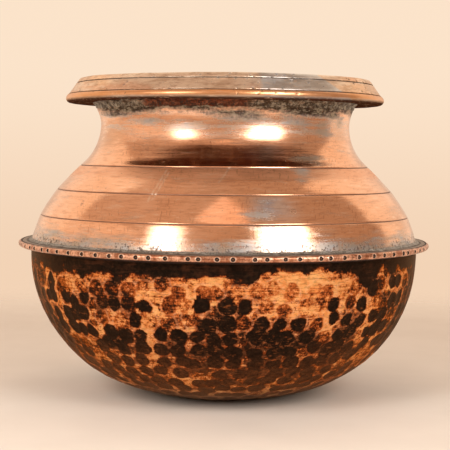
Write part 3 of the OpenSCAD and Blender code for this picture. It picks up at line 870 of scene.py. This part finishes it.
def make_lip(section, cuts, under, materials):
    loop = np.concatenate([section, section[:1]])
    section = resample(loop, 1.1, [(c, 0.7, 0.22) for c in cuts], 24)[:-1]
    columns = LIP_COLUMNS
    points = turned(section[:, None], columns)
    rng = np.random.default_rng(77)
    lift = 0.05 * waves(points, 22, 18, 31) + 0.12 * waves(points, 90, 10, 32)
    for cut in cuts:
        d = np.hypot(*(section - cut).T)
        rise = LIP_CUT_RISE * np.exp(-((d - 0.8) / 0.3) ** 2)
        lift += (rise - LIP_CUT_DEPTH * np.exp(-(d / LIP_CUT_WIDTH) ** 2))[:, None]
    pit = np.zeros(lift.shape)
    outside = np.nonzero((section[:, 0] > 97) & (section[:, 1] > under[0, 1] + 2))[0]
    for _ in range(PIT_COUNT):
        centre, scatter = LIP_PITS[rng.integers(len(LIP_PITS))]
        column = round((rng.normal(centre, scatter) - 90) / 360 * columns) % columns
        row = rng.choice(outside)
        size = rng.uniform(*PIT_RADIUS)
        cols = (column + np.arange(-4, 5)) % columns
        rows = outside[np.hypot(*(section[outside] - section[row]).T) < 3]
        block = np.ix_(rows, cols)
        d = np.linalg.norm(points[block] - points[row, column], axis=-1)
        pit[block] = np.maximum(pit[block], np.clip(1 - (d / size) ** 2, 0, 1))
    lift -= PIT_DEPTH * pit
    bead, (r, z) = under[0, 1], section.T
    low = smooth(z, bead + 6.2, bead + 5.2) * smooth(z, bead + 1.2, bead + 2.6)
    # the lip's underside, where shade is painted
    below = smooth(bead + 2.4 - z, 0, 1.4) + smooth(under[0, 0] - 0.5 - r, 0, 1) * (z < bead + 3.4)
    between = smooth(z, cuts[0][1], cuts[0][1] + 0.6) * smooth(z, cuts[1][1], cuts[1][1] - 0.6)
    turn = from_front(points)
    # where the lip takes its painted grey reflection
    grey = smooth(turn, 8, 16) * smooth(turn + 0.8 * (points[..., 2] - 201), 46.5, 44.5)
    values = {"pit": pit, "low": low[:, None], "under": np.clip(below, 0, 1)[:, None], "grey": grey,
              "worn": patches(points, LIP_WORN), "between": between[:, None]}
    return revolve("lip", section, columns, True, lift, values, materials)


BARE_SOLDER = ((-13, 24), (150, 30))  # azimuth and half width of its bare places, degrees


def make_solder(name, section, lump, length, seed, under_lip, materials):
    """`lump` and `length` are the height and length of its lumps, in mm. `under_lip` is 0 or 1."""
    section = resample(np.concatenate([section, section[:1]]), 0.7)[:-1]
    points = turned(section[:, None], LIP_COLUMNS)
    lift = lump * (waves(points, length, 30, seed) + 0.5 * waves(points, length / 2.4, 30, seed + 1))
    turn = from_front(points)
    bare = sum(np.exp(-((turn - place) / wide) ** 2) for place, wide in BARE_SOLDER)
    out = (section[:, 0] - section[:, 0].min()) / np.ptp(section[:, 0])
    soil = smooth(out, 0.35, 0.95)[:, None] * (1 - under_lip)
    wiped = np.full(lift.shape, 0.85 * (1 - under_lip))
    values = {"bare": bare * under_lip, "soil": soil, "wiped": wiped}
    return revolve(name, section, LIP_COLUMNS, True, lift, values, materials)


def seam_solder_section(shell, hem_end):
    foot = shell["foot"][:1 + len(shell["foot"]) // 2]
    top, edge = foot[-1], shell["edge"]
    dip = (hem_end[:2] + top[:2] - FILLET_DIP) / 2
    return np.concatenate([[[hem_end[0], edge[1]], hem_end[:2], dip], foot[::-1, :2],
                           shell["bend"][::-1, :2], [shell["flange"][:2]]])


def lip_solder_section(shell, under):
    seat = shell["seat"]
    foot = run(seat, -LIP_FILLET)[0]
    roof = under[under[:, 0] < seat[0] + LIP_FILLET / 2]
    dip = [(foot[0] + roof[0][0]) / 2 - FILLET_DIP, (foot[1] + roof[0][1]) / 2 + FILLET_DIP]
    return np.concatenate([[foot[:2]], [seat[:2]], roof[::-1], [dip]])


def build_pot():
    body, seam, centre = bowl_places()
    shell = shell_places(centre)
    lip, lip_cuts, under = lip_shape(shell)
    lining, solder = tin_lining(), tin_solder()
    pieces = [
        (make_bowl(body, [bowl_copper(centre[1]), lining]), "lower_bowl", "bowl_copper"),
        (make_seam(seam, centre, [seam_copper(), lining]), "lower_bowl", "bowl_copper"),
        (make_shell(shell, [shell_copper(centre[1], shell["seat"][1], shell["cuts"]), lining]),
         "upper_shell", "shell_copper"),
        (make_lip(lip, lip_cuts, under, [lip_bronze(lip_cuts)]), "lip_ring", "lip_bronze"),
        (make_solder("seam_tin", seam_solder_section(shell, seam[-1]), 0.16, 7.0, 51, 0.0, [solder]),
         "seam_solder", "tin_solder"),
        (make_solder("lip_tin", lip_solder_section(shell, under), 0.32, 6.0, 61, 1.0, [solder]),
         "lip_solder", "tin_solder"),
    ]
    for piece, node, slot in pieces:
        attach(piece, BODY)
        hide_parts(node)


# ---- studio

def make_floor():
    """A pale sheet that fades into the backdrop."""
    bpy.ops.mesh.primitive_plane_add(size=1.4)
    floor = bpy.context.object
    floor.name = "floor"
    floor.location.z = -0.0002  # just clear of the pot's foot
    m = Maker("pale_floor")
    grain = m.noise(60.0, 3)
    colour = m.mix(m.step(grain, 0.3, 0.7), (0.80, 0.735, 0.665), (0.77, 0.705, 0.635))
    far = m.add("VectorMath", {0: m.place}, operation="LENGTH").outputs["Value"]
    seen = m.step(far, 0.68, 0.36)
    floor.data.materials.append(m.finish(colour, 0.8, 0.0, m.bump(grain, 0.05), specular=0.2, alpha=seen))


ROOM_LEFT, ROOM_RIGHT = (0.68, 0.48, 0.35), (0.50, 0.345, 0.245)
WALL, BACKDROP, BACKDROP_LOW = (1.10, 0.87, 0.67), (0.97, 0.77, 0.59), (0.89, 0.65, 0.465)


def make_world():
    """A brown room in front of the pot and a pale wall behind it. The camera sees only a backdrop."""
    world = bpy.data.worlds.new("studio_room")
    world.use_nodes = True
    tree = world.node_tree
    tree.nodes.clear()
    m = Nodes(tree)
    x, y, z = m.add("SeparateXYZ", {0: m.place}).outputs
    level = m.math("SQRT", m.math("SUBTRACT", 1.0, m.math("MULTIPLY", z, z)))
    behind = m.math("SUBTRACT", y, m.times(level, 0.36))
    wall = m.step(behind, -0.015, 0.03)
    far = m.step(m.math("SUBTRACT", y, m.times(level, 0.86)), 0.0, 0.08, 0.0, 0.45)
    room = m.mix(m.step(x, -0.7, 0.6), ROOM_LEFT, ROOM_RIGHT)
    colour = m.mix(wall, room, WALL)
    colour = m.mix(far, colour, ROOM_RIGHT)
    seen = m.add("LightPath").outputs["Is Camera Ray"]
    colour = m.mix(seen, colour, m.mix(m.step(z, -0.10, 0.07), BACKDROP_LOW, BACKDROP))
    light = m.add("Background", {0: colour, 1: 1.0})
    m.add("OutputWorld", {0: light.outputs[0]})
    bpy.context.scene.world = world


def toward(azimuth, elevation):
    """The way from the pot to a light. Azimuth 0 is in front of the pot, and 90 to its right."""
    a, e = math.radians(azimuth), math.radians(elevation)
    return Vector((math.sin(a) * math.cos(e), -math.cos(a) * math.cos(e), math.sin(e)))


def face_pot(thing, azimuth, elevation, distance, turn=0.0):
    back = toward(azimuth, elevation)
    thing.location = Vector((0, 0, 0.12)) + back * distance
    thing.rotation_euler = (back.to_track_quat("Z", "Y").to_matrix()
                            @ Matrix.Rotation(math.radians(turn), 3, "Z")).to_euler()
    thing.visible_camera = False


def make_lamp(name, azimuth, elevation, distance, size, watts, colour=(1.0, 0.97, 0.93)):
    """A soft light that is itself unseen; a card stands in for it in reflections."""
    data = bpy.data.lights.new(name, "AREA")
    data.shape, data.size, data.size_y = "RECTANGLE", size[0], size[1]
    data.energy, data.color = watts, colour
    lamp = bpy.data.objects.new(name, data)
    bpy.context.scene.collection.objects.link(lamp)
    face_pot(lamp, azimuth, elevation, distance)
    lamp.visible_glossy = False


def make_card(name, azimuth, elevation, distance, size, colour, turn=0.0, soft=0.1):
    """A card that shows only in reflections. Its edge fades over the share `soft` of its half size."""
    bpy.ops.mesh.primitive_plane_add(size=1.0)
    card = bpy.context.object
    card.name = name
    card.scale = (size[0], size[1], 1)
    face_pot(card, azimuth, elevation, distance, turn)
    card.visible_diffuse = card.visible_shadow = False
    m = Maker(name)
    x, y, _ = m.add("SeparateXYZ", {0: m.place}).outputs
    fade = [m.step(m.math("ABSOLUTE", v), 0.5, 0.5 - soft / 2) for v in (x, y)]
    glow = m.add("Emission", {0: (*colour, 1.0), 1: 1.0})
    clear = m.add("BsdfTransparent")
    both = m.add("MixShader", {0: m.times(*fade), 1: clear.outputs[0], 2: glow.outputs[0]})
    m.add("OutputMaterial", {0: both.outputs[0]})
    card.data.materials.append(m.material)


def make_softbox(name, azimuth, elevation, distance, size, watts, soft):
    make_lamp(name, azimuth, elevation, distance, size, watts)
    face = (size[0] * (1 + soft / 2), size[1] * (1 + soft / 4))
    make_card(name + "_face", azimuth, elevation, distance, face, (9.0, 8.5, 8.0), soft=soft)


def make_camera():
    data = bpy.data.cameras.new("camera")
    data.lens, data.sensor_width = 100.8, 36.0
    camera = bpy.data.objects.new("camera", data)
    down, roll = math.radians(3.43), math.radians(0.54)
    camera.matrix_world = (Matrix.Translation((0.00073, -0.8695, 0.1665))
                           @ Matrix.Rotation(math.pi / 2 - down, 4, "X") @ Matrix.Rotation(roll, 4, "Z"))
    bpy.context.scene.collection.objects.link(camera)
    bpy.context.scene.camera = camera


build_pot()
make_floor()
make_world()
make_softbox("left_softbox", -36, 24, 1.4, (0.42, 0.75), 13, 0.95)
make_softbox("right_softbox", 36, 24, 1.4, (0.62, 0.75), 12, 0.5)
make_card("pale_ceiling", 0, 55, 1.6, (0.6, 0.6), (1.15, 0.78, 0.56), 45)
make_card("grey_window", 44, 58, 1.6, (0.95, 0.6), (0.46, 0.49, 0.54), -30, 0.9)
make_card("left_wall", -82, 14, 1.8, (1.9, 1.2), (0.98, 0.74, 0.56))
make_camera()
bpy.context.scene.view_settings.view_transform = "Standard"
